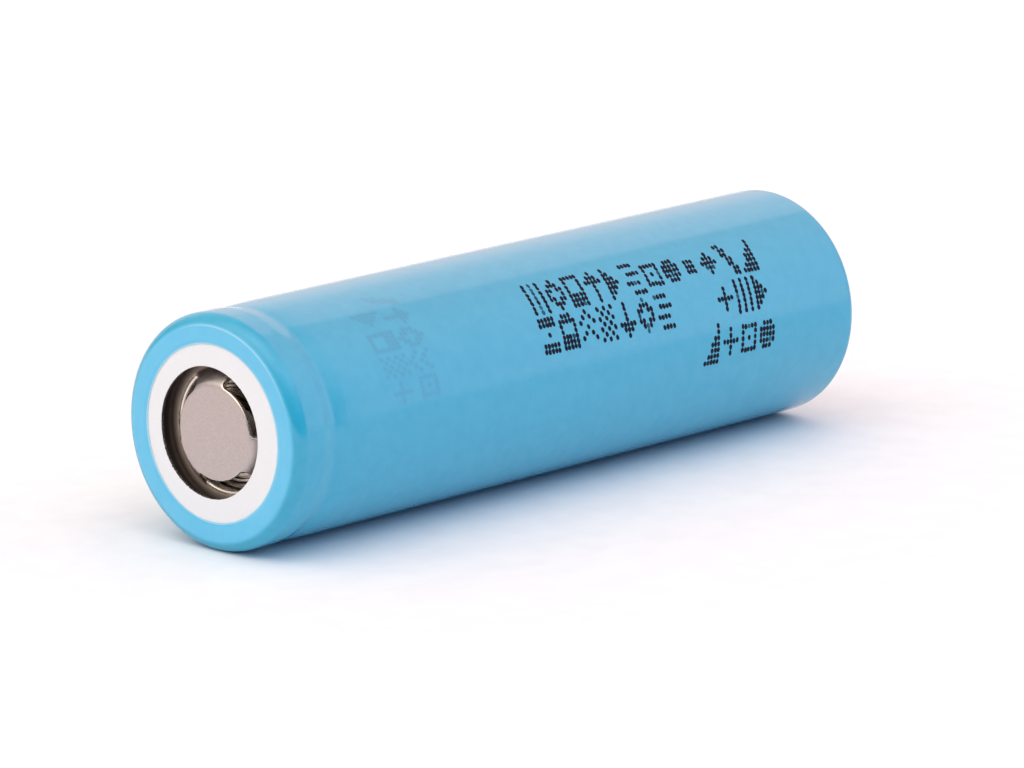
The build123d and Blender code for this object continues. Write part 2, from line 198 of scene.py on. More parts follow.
def make_mesh(name, verts, faces, material, slot, sharp, replaces=None, body="cell"):
    mesh = bpy.data.meshes.new(name)
    mesh.from_pydata((np.asarray(verts) * MM).tolist(), [], faces)
    mesh.validate()
    mesh.update()
    ob = bpy.data.objects.new(name, mesh)
    bpy.context.scene.collection.objects.link(ob)
    mesh.materials.append(material)
    shade(mesh, sharp)
    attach(ob, body)
    if replaces:
        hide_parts(replaces)
    return ob


def grid_faces(nu, nv, close_v=True):
    """Quads over nu by nv points, numbered u * nv + v; u always closes on itself."""
    u, v = np.meshgrid(np.arange(nu), np.arange(nv if close_v else nv - 1), indexing="ij")
    u1, v1 = (u + 1) % nu, (v + 1) % nv
    quads = np.stack([u * nv + v, u * nv + v1, u1 * nv + v1, u1 * nv + v], -1)
    return quads.reshape(-1, 4).tolist()


def angles(n):
    """n even angles round the axis, as a column."""
    return (np.arange(n) * 2 * math.pi / n)[:, None]


def swept(x, r, theta):
    return np.stack([x, r * np.cos(theta), r * np.sin(theta)], -1).reshape(-1, 3)


def revolve(name, profile, material, n=256, shape=None, **options):
    """Turns a closed profile about X. Where it touches the axis it ends in two poles.

    shape(x, r, theta) may give new radii.
    """
    on_axis = profile[:, 1] < 1e-6
    poles = []
    if on_axis.any():
        # the profile is rolled so that it starts and ends on the axis
        first = int(np.where(on_axis & ~np.roll(on_axis, -1))[0][0])
        profile = np.roll(profile, -first, 0)
        on_axis = profile[:, 1] < 1e-6
        poles = profile[on_axis]
        profile = profile[~on_axis]
    m = len(profile)
    theta = angles(n)
    x = np.repeat(profile[None, :, 0], n, 0)
    r = np.repeat(profile[None, :, 1], n, 0)
    if shape:
        r = shape(x, r, theta)
    verts = swept(x, r, theta)
    faces = grid_faces(n, m, close_v=not len(poles))
    if len(poles):
        base = len(verts)
        verts = np.vstack([verts, [[poles[0][0], 0, 0], [poles[-1][0], 0, 0]]])
        for i in range(n):
            j = (i + 1) % n
            faces.append([base, i * m, j * m])
            faces.append([base + 1, j * m + m - 1, i * m + m - 1])
    return make_mesh(name, verts, faces, material, **options)


def set_attribute(ob, name, values):
    attribute = ob.data.attributes.new(name, "FLOAT", "POINT")
    attribute.data.foreach_set("value", np.asarray(values, np.float32).reshape(-1))


# ---- shader graphs -----------------------------------------------------------------------------

SPREAD = (0.3, 0.7)                 # where most of a noise's values lie


class Graph:
    """Adds nodes to the tree of a material or a world. A value may be a number or a socket."""

    def __init__(self, owner):
        owner.use_nodes = True
        self.tree = owner.node_tree
        self.tree.nodes.clear()

    def put(self, socket, value):
        if hasattr(value, "is_output"):
            self.tree.links.new(value, socket)
        else:
            socket.default_value = (*value, 1.0) if socket.type == "RGBA" else value

    def node(self, kind, inputs={}, **settings):
        node = self.tree.nodes.new("ShaderNode" + kind)
        for key, value in settings.items():
            setattr(node, key, value)
        for key, value in inputs.items():
            self.put(node.inputs[key], value)
        return node

    def math(self, operation, *values):
        return self.node("Math", dict(enumerate(values)), operation=operation).outputs[0]

    def times(self, a, b):
        return self.math("MULTIPLY", a, b)

    def vector(self, operation, inputs):
        return self.node("VectorMath", inputs, operation=operation).outputs[0]

    def step(self, value, span=SPREAD, to=(0.0, 1.0)):
        """Eases from to[0] to to[1] as value crosses span."""
        inputs = {"Value": value, "From Min": span[0], "From Max": span[1],
                  "To Min": to[0], "To Max": to[1]}
        return self.node("MapRange", inputs, interpolation_type="SMOOTHSTEP").outputs[0]


class Material(Graph):
    """A Principled material whose coordinates are in millimetres."""

    def __init__(self, name):
        self.material = bpy.data.materials.new(name)
        super().__init__(self.material)
        self.bsdf = self.node("BsdfPrincipled")
        self.node("OutputMaterial", {0: self.bsdf.outputs[0]})
        place = self.node("TexCoord").outputs["Object"]
        self.mm = self.vector("SCALE", {0: place, "Scale": 1000.0})

    @cached_property
    def xyz(self):
        return self.node("SeparateXYZ", {0: self.mm}).outputs

    @cached_property
    def x(self):
        return self.xyz[0]

    @cached_property
    def r(self):
        y, z = self.xyz[1], self.xyz[2]
        return self.math("SQRT", self.math("ADD", self.times(y, y), self.times(z, z)))

    def scaled(self, x, y, z):
        return self.vector("MULTIPLY", {0: self.mm, 1: (x, y, z)})

    def cylinder(self, along, around, outward=1.0):
        """Coordinates (x, angle, r) scaled, for grain that runs along or round the axis."""
        angle = self.math("ARCTAN2", self.xyz[2], self.xyz[1])
        inputs = {0: self.times(self.x, along), 1: self.times(angle, around),
                  2: self.times(self.r, outward)}
        return self.node("CombineXYZ", inputs).outputs[0]

    def noise(self, scale, detail=3.0, rough=0.5, vector=None, distortion=0.0):
        inputs = {"Vector": vector or self.mm, "Scale": scale, "Detail": detail,
                  "Roughness": rough, "Distortion": distortion}
        return self.node("TexNoise", inputs).outputs[0]

    def voronoi(self, scale):
        return self.node("TexVoronoi", {"Vector": self.mm, "Scale": scale}).outputs[0]

    def mix(self, amount, under, over):
        return self.node("Mix", {0: amount, 6: under, 7: over}, data_type="RGBA").outputs[2]

    def shades(self, field, base, darker, lighter, span=SPREAD):
        """The base colour, darker where the field is low and lighter where it is high."""
        return self.mix(self.step(field, span), tint(base, darker), tint(base, lighter))

    def attribute(self, name):
        return self.node("Attribute", attribute_name=name).outputs["Fac"]

    def bump(self, height, microns, strength=1.0, normal=None):
        inputs = {"Height": height, "Distance": microns * 1e-6, "Strength": strength}
        if normal is not None:
            inputs["Normal"] = normal
        return self.node("Bump", inputs).outputs[0]

    def finish(self, **inputs):
        for key, value in inputs.items():
            self.put(self.bsdf.inputs[key.replace("_", " ")], value)
        return self.material


def tint(colour, factor):
    return tuple(min(1.0, c * factor) for c in colour)


# ---- materials ---------------------------------------------------------------------------------


def film_material():
    m = Material("shrink_film")
    mottling = m.noise(scale=0.9, detail=4, rough=0.55)
    fine = m.noise(scale=6.0, rough=0.6)
    can_side = m.mix(m.step(mottling), under=(0.025, 0.393, 0.592), over=(0.035, 0.417, 0.618))
    lip_side = m.mix(m.step(mottling), under=(0.118, 0.555, 0.835), over=(0.130, 0.575, 0.850))
    on_washer = m.times(m.step(m.x, span=(64.60, 64.93)), m.step(m.r, span=(8.62, 8.20)))
    base = m.mix(on_washer, can_side, lip_side)
    # edge of the film, where it was cut and is seen end-on
    cut = m.times(m.step(m.x, span=(64.88, 64.92)), m.step(m.r, span=(6.98, 6.86)))
    base = m.mix(cut, base, over=(0.42, 0.70, 0.84))
    base = m.mix(m.times(m.attribute("ghost"), 0.85), base, over=(0.020, 0.275, 0.450))
    # painted highlight: a light line along the fold where the film turns over the can's corner,
    # only on its upper side, where the light catches it
    base = m.mix(m.times(m.attribute("fold_highlight"), 0.85), base, over=(0.42, 0.77, 0.93))
    base = m.mix(m.step(fine, span=(0.35, 0.65), to=(0.0, 0.05)), base, over=(0.10, 0.48, 0.70))
    rough = m.step(m.noise(scale=1.6, detail=4, rough=0.6), span=(0.3, 0.75), to=(0.13, 0.19))
    broad = m.noise(scale=0.55, detail=2, vector=m.scaled(x=0.45, y=1, z=1))
    waviness = m.bump(broad, microns=6, strength=0.9)
    peel = m.bump(m.noise(scale=3.2, rough=0.55), microns=1.6, strength=0.8, normal=waviness)
    # hairline scuffs, mostly along the cell
    scuff = m.noise(scale=2.2, detail=2, rough=0.4, distortion=0.3,
                    vector=m.cylinder(along=0.25, around=60.0))
    scuffs = m.step(scuff, span=(0.66, 0.72))
    return m.finish(
        Base_Color=base, Roughness=rough, IOR=1.52,
        Normal=m.bump(scuffs, microns=0.5, strength=0.5, normal=peel),
        Coat_Weight=0.25, Coat_Roughness=0.07, Coat_Normal=waviness,
    )


def washer_material():
    """White fibre board, specked, with painted shade on the hole's cut wall: near-black brown."""
    m = Material("fibre_board")
    fibres = m.noise(scale=7.0, detail=6, rough=0.7)
    base = m.mix(m.step(fibres, span=(0.35, 0.7)),
                 under=(0.885, 0.87, 0.875), over=(0.915, 0.90, 0.905))
    specks = m.step(m.voronoi(scale=1.3), span=(0.045, 0.02), to=(0.0, 0.30))
    base = m.mix(specks, base, over=(0.55, 0.52, 0.52))
    patchy = m.step(fibres, span=(0.25, 0.6), to=(0.8, 1.0))
    # painted shade: the hole's cut wall is painted near-black brown, in patches
    base = m.mix(m.times(m.attribute("edge"), patchy), base, over=(0.035, 0.022, 0.014))
    return m.finish(Base_Color=base, Roughness=m.step(fibres, to=(0.74, 0.86)),
                    Normal=m.bump(fibres, microns=2.2, strength=0.5), IOR=1.45)


def nickel_material(name, base, rough, cap=False):
    m = Material(name)
    mottle = m.noise(scale=2.2, detail=5, rough=0.65)
    grain = m.noise(scale=7.5, detail=4, rough=0.75)
    sand = m.noise(scale=19.0, detail=2, rough=0.6)
    colour = m.shades(mottle, base, darker=0.93, lighter=1.05, span=(0.3, 0.72))
    colour = m.mix(m.step(grain, span=(0.38, 0.70), to=(0.0, 0.75)), colour, tint(base, 0.80))
    colour = m.mix(m.step(sand, span=(0.55, 0.75), to=(0.0, 0.35)), colour, tint(base, 1.22))
    roughness = m.step(mottle, to=rough)
    metal = 1.0
    if cap:
        # painted shade: the flange ring under the washer is painted tan, fading to near black
        # towards the washer's overhang, for the shadow the washer casts there
        low = m.times(m.step(m.r, span=(4.72, 5.05)), m.step(m.x, span=(63.85, 63.60)))
        flange_painted_shade = m.mix(m.step(m.r, span=(4.95, 5.65)),
                     under=(0.56, 0.43, 0.345), over=(0.085, 0.056, 0.040))
        colour = m.mix(m.times(low, 0.92), colour, flange_painted_shade)
        # the windows' cut edges are burnished, and lightened to cream as a painted highlight
        edge = m.attribute("burnish_and_highlight")
        colour = m.mix(edge, colour, over=(0.90, 0.79, 0.66))
        roughness = m.times(roughness, m.step(edge, span=(0.0, 1.0), to=(1.0, 0.62)))
        metal = m.step(low, span=(0.0, 1.0), to=(1.0, 0.45))
    bump = m.bump(grain, microns=5.0, strength=0.75)
    bump = m.bump(mottle, microns=4.0, strength=0.5, normal=bump)
    return m.finish(Base_Color=colour, Metallic=metal, Roughness=roughness, Normal=bump)


def can_material():
    """Plated steel with turned rings, scratches and a weld stain at the floor's middle."""
    m = Material("can_steel_plate")
    rings = m.noise(scale=2.0, vector=m.cylinder(along=0.05, around=2.0, outward=22.0))
    mottle = m.noise(scale=1.1, detail=4, rough=0.6)
    scratch = m.noise(scale=5.0, detail=2, distortion=0.4, vector=m.scaled(x=1, y=0.12, z=2.2))
    colour = m.mix(m.step(mottle), under=(0.50, 0.49, 0.47), over=(0.60, 0.59, 0.565))
    weld = m.times(m.step(m.r, span=(1.45, 0.9)), m.step(m.x, span=(1.0, 0.5)))
    colour = m.mix(m.times(weld, 0.35), colour, over=(0.33, 0.27, 0.19))
    bump = m.bump(rings, microns=1.6, strength=0.5)
    bump = m.bump(m.step(scratch, span=(0.60, 0.66)), microns=1.2, strength=0.45, normal=bump)
    return m.finish(Base_Color=colour, Metallic=1.0, Roughness=m.step(rings, to=(0.26, 0.38)),
                    Normal=bump)


def metal_sheet_material(name, base, rough, ringed=True):
    """Bright sheet metal, with fine lines in rings or straight along X."""
    m = Material(name)
    if ringed:
        vector = m.cylinder(along=0.15, around=1.0, outward=5.0)
    else:
        vector = m.scaled(x=0.3, y=9, z=9)
    lines = m.noise(scale=2.0, detail=2, rough=0.45, vector=vector)
    mottle = m.noise(scale=2.0, detail=4, rough=0.6)
    return m.finish(Base_Color=m.shades(mottle, base, darker=0.90, lighter=1.06), Metallic=1.0,
                    Roughness=m.step(lines, to=rough),
                    Normal=m.bump(lines, microns=0.8 if ringed else 1.2, strength=0.4))


def ring_plastic_material():
    m = Material("natural_ring_plastic")
    grain = m.noise(scale=3.0, detail=4, rough=0.6)
    colour = m.shades(grain, base=(0.72, 0.70, 0.62), darker=0.88, lighter=1.10)
    rough = m.step(m.noise(scale=3.0 * 0.4), to=(0.40, 0.55))
    return m.finish(Base_Color=colour, Roughness=rough, IOR=1.46,
                    Normal=m.bump(grain, microns=3.0, strength=0.5))


def gasket_material():
    """Black moulded plastic; in its corner with the cap's flange it carries the flange's painted
    shade.
    """
    m = Material("gasket_black_plastic")
    grain = m.noise(scale=5.0, detail=4, rough=0.6)
    colour = m.mix(m.step(grain), under=(0.017, 0.012, 0.009), over=(0.023, 0.016, 0.012))
    # painted shade: in the corner with the flange the gasket is painted the brown of the flange's
    # painted shadow, so the shade runs on without a line
    corner = m.times(m.step(m.x, span=(64.02, 63.54)), m.step(m.r, span=(5.95, 5.80)))
    colour = m.mix(corner, colour, over=(0.115, 0.080, 0.060))
    rough = m.step(m.noise(scale=2.0), to=(0.50, 0.65))
    return m.finish(Base_Color=colour, Roughness=rough, IOR=1.46, Specular_IOR_Level=0.35,
                    Normal=m.bump(grain, microns=4.0, strength=0.5))


def coating_material(name, base):
    """Calendered electrode coating: fine grain, faint rolling marks."""
    m = Material(name)
    grain = m.noise(scale=26.0, detail=4, rough=0.7)
    roll = m.noise(scale=1.6, vector=m.cylinder(along=6.0, around=0.6, outward=0.4))
    colour = m.shades(grain, base, darker=0.75, lighter=1.3)
    colour = m.mix(m.step(roll, span=(0.35, 0.7), to=(0.0, 0.4)), colour, tint(base, 1.6))
    return m.finish(Base_Color=colour, Roughness=m.step(grain, to=(0.5, 0.72)), IOR=1.5,
                    Normal=m.bump(grain, microns=4.0, strength=0.6))


def thin_film_material(name, base, rough):
    """Streaked, slightly wrinkled tape or separator."""
    m = Material(name)
    streak = m.noise(scale=2.0, vector=m.cylinder(along=0.4, around=18.0))
    wrinkle = m.noise(scale=0.9)
    return m.finish(Base_Color=m.shades(streak, base, darker=0.93, lighter=1.05),
                    Roughness=m.step(wrinkle, to=rough), IOR=1.5,
                    Normal=m.bump(wrinkle, microns=14.0, strength=0.5))


def ink_material():
    """Black ink, bluer where the film shows through a thin drop."""
    m = Material("black_ink")
    grain = m.noise(scale=9.0, rough=0.6)
    colour = m.mix(m.step(grain), under=(0.004, 0.006, 0.018), over=(0.008, 0.011, 0.028))
    colour = m.mix(m.attribute("thin"), colour, over=(0.030, 0.16, 0.26))
    return m.finish(Base_Color=colour, Roughness=m.step(grain, to=(0.50, 0.65)), IOR=1.45,
                    Specular_IOR_Level=0.12, Normal=m.bump(grain, microns=1.5, strength=0.5))


def fibre_disc_material():
    m = Material("insulator_fibre_disc")
    weave_z = m.noise(scale=3.0, detail=5, rough=0.65, vector=m.scaled(x=1, y=2.6, z=0.7))
    weave_y = m.noise(scale=3.0, detail=5, rough=0.65, vector=m.scaled(x=1, y=0.7, z=2.6))
    both = m.math("MAXIMUM", weave_z, weave_y)
    colour = m.mix(m.step(both, span=(0.45, 0.75)),
                   under=(0.055, 0.048, 0.040), over=(0.13, 0.11, 0.09))
    return m.finish(Base_Color=colour, Roughness=0.62, IOR=1.5,
                    Normal=m.bump(both, microns=12, strength=0.6))


def floor_material():
    m = Material("pale_floor")
    tone = m.noise(scale=0.35, detail=4, rough=0.55)
    tooth = m.noise(scale=2.6, detail=4, rough=0.7)
    colour = m.mix(m.step(tone), under=(0.90, 0.90, 0.915), over=(0.93, 0.93, 0.94))
    return m.finish(Base_Color=colour, Roughness=0.9, Specular_IOR_Level=0.1,
                    Normal=m.bump(tooth, microns=10, strength=0.5))


# ---- marks: abstract dot patterns, none of them a letter or a digit ----------------------------

# five columns by seven rows, top row first
GLYPHS = [glyph.split() for glyph in (
    "..#.. .###. ##.## #...# ##.## .###. ..#..",   # 0 diamond ring
    "#.... ##... ###.. ####. ###.. ##... #....",   # 1 play triangle
    "..#.. .###. ##### ..#.. ..#.. ..#.. ..#..",   # 2 arrow up
    "..#.. ..#.. ..#.. ..#.. ##### .###. ..#..",   # 3 arrow down
    "#.#.# .#.#. #.#.# .#.#. #.#.# .#.#. #.#.#",   # 4 checks
    "..... ##### #...# #.#.# #...# ##### .....",   # 5 square round a dot
    ".###. ##### #...# #...# ##### ##### #####",   # 6 cell, charged
    "##... .##.. .##.. ..##. ..##. ...## ...##",   # 7 steps
    "..#.. .#.#. #...# ..#.. .#.#. #...# .....",   # 8 two chevrons
    "##### #...# #...# #...# ##### ##### #####",   # 9 half-filled frame
    "..... .###. ##### ##### ##### .###. .....",   # 10 disc
    "..... ..#.. ..#.. ##### ..#.. ..#.. .....",   # 11 plus
    "..... ..... .###. .###. .###. ..... .....",   # 12 small square
    "##### ##### ..... ..#.. ..... ##### #####",   # 13 dot between two bars
    "####. ..... .#### ..... ####. ..... .####",   # 14 offset bars
    "#.#.# #.#.# #.#.# #.#.# #.#.# #.#.# #.#.#",   # 15 three bars
    "....# ....# ...## ..### ..### .#### #####",   # 16 ramp
    "..... ..#.. .###. ##### .###. ..#.. .....",   # 17 diamond
)]
MARK_SCALE = 0.978                  # fits the marks' places to this cell's length
GLYPH_PITCH = 2.29 * MARK_SCALE
COLUMN_PITCH, ROW_LEAN = 0.375, 0.045
# glyphs, distance from the positive end before MARK_SCALE, angle of the first dot,
# degrees lost per mm, degrees between rows, glyph with a starved middle column
PRINT_ROWS = [
    ([15, 0, 9, 2, 1, 14, 5, 10, 12, 17, 7, 16], 29.45, 55.6, 0.118, 2.68, 0),
    ([13, 6, 8, 4, 3, 0, 14], 28.95, 35.4, 0.118, 2.62, 5),
    ([11, 15, 1], 50.1, 32.7, 0.118, 2.55, None),
    ([16, 11, 5, 10], 47.6, 12.9, 0.17, 2.95, None),
]
# marks on the can, faint through the film and turned a quarter turn: glyphs,
# distance from the positive end before MARK_SCALE, first angle, degrees between glyphs
GHOST_ROWS = [
    ([1, 9, 4, 11], 10.75, 60.5, 13.0),
    ([7, 3, 0, 8, 5], 13.75, 72.5, 12.6),
]
GHOST_X = (48.2, 55.2)
GHOST_ROW_PITCH, GHOST_COLUMN_DEG, GHOST_BLUR = 0.40, 2.15, 0.14


def glyph_cells(glyphs):
    """(place in the list, row, column) of every filled cell."""
    return [(place, row, column) for place, glyph in enumerate(glyphs)
            for row, line in enumerate(GLYPHS[glyph])
            for column, cell in enumerate(line) if cell == "#"]


# ---- shrink film sleeve ------------------------------------------------------------------------

# outer face (x, r), from the negative lip over the barrel and the groove to the positive lip
SLEEVE_PATH = [
    (X_NEG_LIP, 7.15), (X_NEG_LIP, CELL_R), (59.55, CELL_R), (60.62, NECK_R), (61.10, NECK_R),
    (62.17, CELL_R), (X_POS_LIP, CELL_R), (X_POS_LIP, 6.85),
]
SLEEVE_RADII = [0.85, 4.0, 3.0, 3.0, 3.5, 1.05]
FILM_SEGMENTS = 560
# small folds left by shrinking: x, angle from, angle to, height, half width, x per degree
FILM_FOLDS = [
    (64.10, 20, 47, 0.006, 0.055, 0.004), (62.35, 56, 96, 0.010, 0.16, -0.006),
    (59.15, 57, 80, 0.007, 0.10, 0.010), (63.30, 50, 74, 0.004, 0.09, 0.006),
    (62.70, -60, -20, 0.006, 0.14, -0.004), (59.30, 120, 165, 0.007, 0.12, 0.006),
    (62.40, 175, 215, 0.008, 0.15, 0.005), (59.20, -130, -95, 0.007, 0.12, -0.006),
    (63.60, 250, 290, 0.005, 0.09, 0.004),
]


def film_spacing(x, r):
    """Point spacing: fine at the lips, the groove and the faint marks."""
    if x > 64.9:
        return 0.07
    if x < 0.05:
        return 0.12
    if x > 58.8 or GHOST_X[0] < x < GHOST_X[1]:
        return 0.11
    return 0.75


def film_profile():
    """Closed profile, its outward normals, and its side: 1 on the outer face, 0 on the inner."""
    outer = densify(fillet_path(SLEEVE_PATH, SLEEVE_RADII, step=4.0), film_spacing)
    normals = path_normals(outer)
    ends = []
    for end, sign in ((0, -1), (-1, 1)):
        # half-round cut edge between the outer and the inner face
        point, normal = outer[end], normals[end]
        tangent = np.array([normal[1], -normal[0]]) * sign
        ends.append([point - normal * FILM_T / 2
                     + FILM_T / 2 * (math.cos(a) * normal + math.sin(a) * tangent)
                     for a in np.linspace(0, math.pi, 7)[1:-1]])
    keep = [0]                      # the inner face needs fewer points
    for i in range(1, len(outer)):
        if np.linalg.norm(outer[i] - outer[keep[-1]]) > 0.22 or i == len(outer) - 1:
            keep.append(i)
    inner = outer[keep] - normals[keep] * FILM_T
    profile = np.vstack([outer, np.array(ends[1]), inner[::-1], np.array(ends[0])[::-1]])
    side = np.concatenate([np.ones(len(outer)), np.linspace(1, 0, 5),
                           np.zeros(len(inner)), np.linspace(0, 1, 5)])
    all_normals = np.vstack([normals, np.repeat(normals[-1:], 5, 0), normals[keep][::-1],
                             np.repeat(normals[:1], 5, 0)])
    return profile, all_normals, side


def film_swell(x, r, theta, degrees, side, turn):
    """How far each point of the film moves outwards."""
    barrel = r > 8.3
    swell = np.zeros((FILM_SEGMENTS, x.shape[1]))
    # the bridge over the groove: deeper in some places, with faint tension folds
    neck = bell(x, middle=60.92, width=0.85) * barrel
    swell += neck * (-0.004 + 0.018 * waves(theta, turns=(2, 7), falloff=0.4, seed=11)
                     + 0.002 * waves(theta, turns=(14, 30), falloff=0.3, seed=12))
    # on the barrel's side the film slopes in over a longer stretch than the groove below it
    swell += barrel * (0.035 * bell(x, middle=60.5, width=0.5)
                       - 0.028 * bell(x, middle=59.3, width=0.75))
    shoulder = bell(x, middle=62.9, width=0.7) * barrel
    swell += shoulder * 0.004 * waves(theta, turns=(3, 14), falloff=0.4, seed=13)
    for fold_x, start, end, height, width, slant in FILM_FOLDS:
        off = (degrees - (start + end) / 2 + 180) % 360 - 180
        along = np.clip(1 - (off / ((end - start) / 2)) ** 2, 0, 1)
        swell += barrel * height * along * np.exp(-(((x - fold_x - slant * off) / width) ** 2))
    # the fold line where the film turns onto the end face
    swell += turn * (0.004 + 0.026 * smoothstep(0, 40, degrees) * smoothstep(125, 95, degrees))
    # thickness and roundness vary by a few microns along the body
    body = smoothstep(1.0, 3.0, x) * smoothstep(59.6, 58.0, x) * (r > 8.9)
    swell += (body * 0.0035 * waves(theta, turns=(2, 12), falloff=0.6, seed=14)
              * (1 + 0.5 * np.sin(x * 0.21)))
    # radial gathers at the negative end, where the film shrank over the can's corner
    gathers = np.clip(waves(theta, turns=(9, 30), falloff=0.2, seed=15), 0, 1) ** 1.2
    swell += smoothstep(8.6, 7.3, r) * (x < 0.3) * (
        0.030 * gathers + 0.006 * waves(theta, turns=(3, 8), falloff=0.3, seed=16) + 0.006)
    # the positive lip lies flat on the washer and swells a little at its rim
    on_washer = x > 64.8
    swell += smoothstep(7.6, 6.9, r) * on_washer * (
        0.006 + 0.005 * waves(theta, turns=(2, 14), falloff=0.3, seed=17))
    # the cut edge is drawn thin
    swell -= 0.062 * side * smoothstep(7.22, 6.87, r) * on_washer
    return swell


def edge_wander(x, r, theta):
    """How far the two cut edges wander from round."""
    positive = smoothstep(7.35, 6.85, r) * (x > 64.8)
    negative = smoothstep(7.9, 7.15, r) * (x < 0.3)
    return (positive * (0.030 * waves(theta, turns=(1, 5), falloff=0.6, seed=18)
                        + 0.012 * waves(theta, turns=(8, 40), falloff=0.3, seed=19))
            + negative * (0.10 * waves(theta, turns=(1, 6), falloff=0.6, seed=20)
                          + 0.05 * waves(theta, turns=(8, 26), falloff=0.2, seed=21)))


def ghost_strength(x, degrees, side):
    """0..1 over the film: how dark the can's marks show through."""
    shape = (FILM_SEGMENTS, x.shape[1])
    x, degrees = np.broadcast_to(x, shape), np.broadcast_to(degrees, shape)
    near = (x > GHOST_X[0]) & (x < GHOST_X[1]) & (side > 0.5) & (degrees > 0) & (degrees < 80)
    near_x, near_deg = x[near], degrees[near]
    strength = np.zeros(len(near_x))
    for glyphs, start, first_deg, pitch_deg in GHOST_ROWS:
        for place, row, column in glyph_cells(glyphs):
            dot_x = X_POS_LIP - (start * MARK_SCALE + row * GHOST_ROW_PITCH)
            dot_deg = first_deg - place * pitch_deg - column * GHOST_COLUMN_DEG
            arc = (near_deg - dot_deg) * math.pi / 180 * CELL_R
            distance2 = (near_x - dot_x) ** 2 + arc ** 2
            strength = np.maximum(strength, np.exp(-distance2 / (2 * GHOST_BLUR**2)))
    ghost = np.zeros(shape)
    ghost[near] = strength * (0.86 + 0.14 * np.cos(near_deg / 9.0 + 1.0))
    return ghost


def build_film(material):
    profile, normals, side = film_profile()
    theta = angles(FILM_SEGMENTS)
    degrees = np.degrees(np.arctan2(np.sin(theta), np.cos(theta)))
    x, r, side = profile[None, :, 0], profile[None, :, 1], side[None, :]
    turn = bell(r, middle=8.27, width=0.06) * (x > 64.5)
    swell = film_swell(x, r, theta, degrees, side, turn)
    film_x = x + normals[None, :, 0] * swell
    film_r = r + normals[None, :, 1] * swell + edge_wander(x, r, theta)
    film = make_mesh("film_sleeve", swept(film_x, film_r, theta),
                     grid_faces(FILM_SEGMENTS, len(profile)), material, slot="sleeve_film",
                     replaces="heat_shrink_sleeve", sharp=60)
    set_attribute(film, "ghost", ghost_strength(x, degrees, side))
    # painted highlight along the lip's fold, on its upper side only
    fold_highlight = turn * smoothstep(12, 58, degrees) * smoothstep(125, 85, degrees)
    set_attribute(film, "fold_highlight", fold_highlight)


# ---- printed dots ------------------------------------------------------------------------------

DROP_HALF_X, DROP_HALF_ARC = 0.182, 0.222
# a drop's rings from its middle out and back underneath: share of the radius, height
DROP_RINGS = [(0.0, 0.0050), (0.60, 0.0048), (0.86, 0.0038), (1.0, 0.0008), (1.0, -0.0200),
              (0.0, -0.0200)]
DROP_SEGMENTS = 18
DROP_BASE_R = CELL_R + 0.0035


def print_dots():
    """(distance from the positive end, angle, starved) of each dot."""
    dots = []
    for glyphs, start, first_deg, slope, row_deg, starved in PRINT_ROWS:
        start *= MARK_SCALE
        for place, row, column in glyph_cells(glyphs):
            s = start + place * GLYPH_PITCH + column * COLUMN_PITCH - ROW_LEAN * row
            degrees = first_deg - slope * (s - start) - row * row_deg
            dots.append((s, degrees, place == starved and column == 2))
    return dots


def drop_mesh(s, degrees, starved, base):
    """Vertices, faces and thinness of one drop of ink, its first vertex numbered base."""
    s += rng.normal(0, 0.012)
    degrees += rng.normal(0, 0.10)
    half_x = DROP_HALF_X * rng.uniform(0.92, 1.06)
    half_arc = DROP_HALF_ARC * rng.uniform(0.92, 1.08)
    tilt = math.radians(rng.normal(0, 4))
    thin = 0.0
    # now and then a drop is short of ink
    if rng.random() < 0.04 or (starved and rng.random() < 0.7):
        half_x, half_arc, thin = half_x * 0.92, half_arc * 0.92, rng.uniform(0.3, 0.9)
    n = DROP_SEGMENTS
    wobble = 1 + 0.05 * rng.normal(size=n)
    verts, thins = [], []
    for share, height in DROP_RINGS:
        for j in range(n if share else 1):
            u = share * half_x * wobble[j] * math.cos(2 * math.pi * j / n)
            v = share * half_arc * wobble[j] * math.sin(2 * math.pi * j / n)
            along = u * math.cos(tilt) - v * math.sin(tilt)
            around = u * math.sin(tilt) + v * math.cos(tilt)
            angle = math.radians(degrees) + around / CELL_R
            r = DROP_BASE_R + height
            verts.append((X_POS_LIP - s + along, r * math.cos(angle), r * math.sin(angle)))
            thins.append(thin * (1.0 if share < 0.7 else 0.35))
    faces = []
    first, last = base + 1, base + 1 + 4 * n
    for j in range(n):
        j1 = (j + 1) % n
        faces.append([base, first + j, first + j1])
        for k in range(3):
            p, q = first + k * n, first + (k + 1) * n
            faces.append([p + j, q + j, q + j1, p + j1])
        faces.append([last, first + 3 * n + j1, first + 3 * n + j])
    return verts, faces, thins


def build_print():
    verts, faces, thins = [], [], []
    for s, degrees, starved in print_dots():
        drop_verts, drop_faces, drop_thins = drop_mesh(s, degrees, starved, len(verts))
        verts += drop_verts
        faces += drop_faces
        thins += drop_thins
    ink = make_mesh("print_dots", verts, faces, ink_material(), slot="print_ink", sharp=50)
    set_attribute(ink, "thin", thins)


# ---- white washer, with the torn fibres of its punched hole ------------------------------------

HOLE_R, HOLE_SHIFT_Y = 5.06, -0.33
WASHER_SEGMENTS = 1440


def washer_spacing(x, r):
    if r < HOLE_R + 0.05:
        return 0.05
    return 0.07 if r < HOLE_R + 0.5 else 0.4


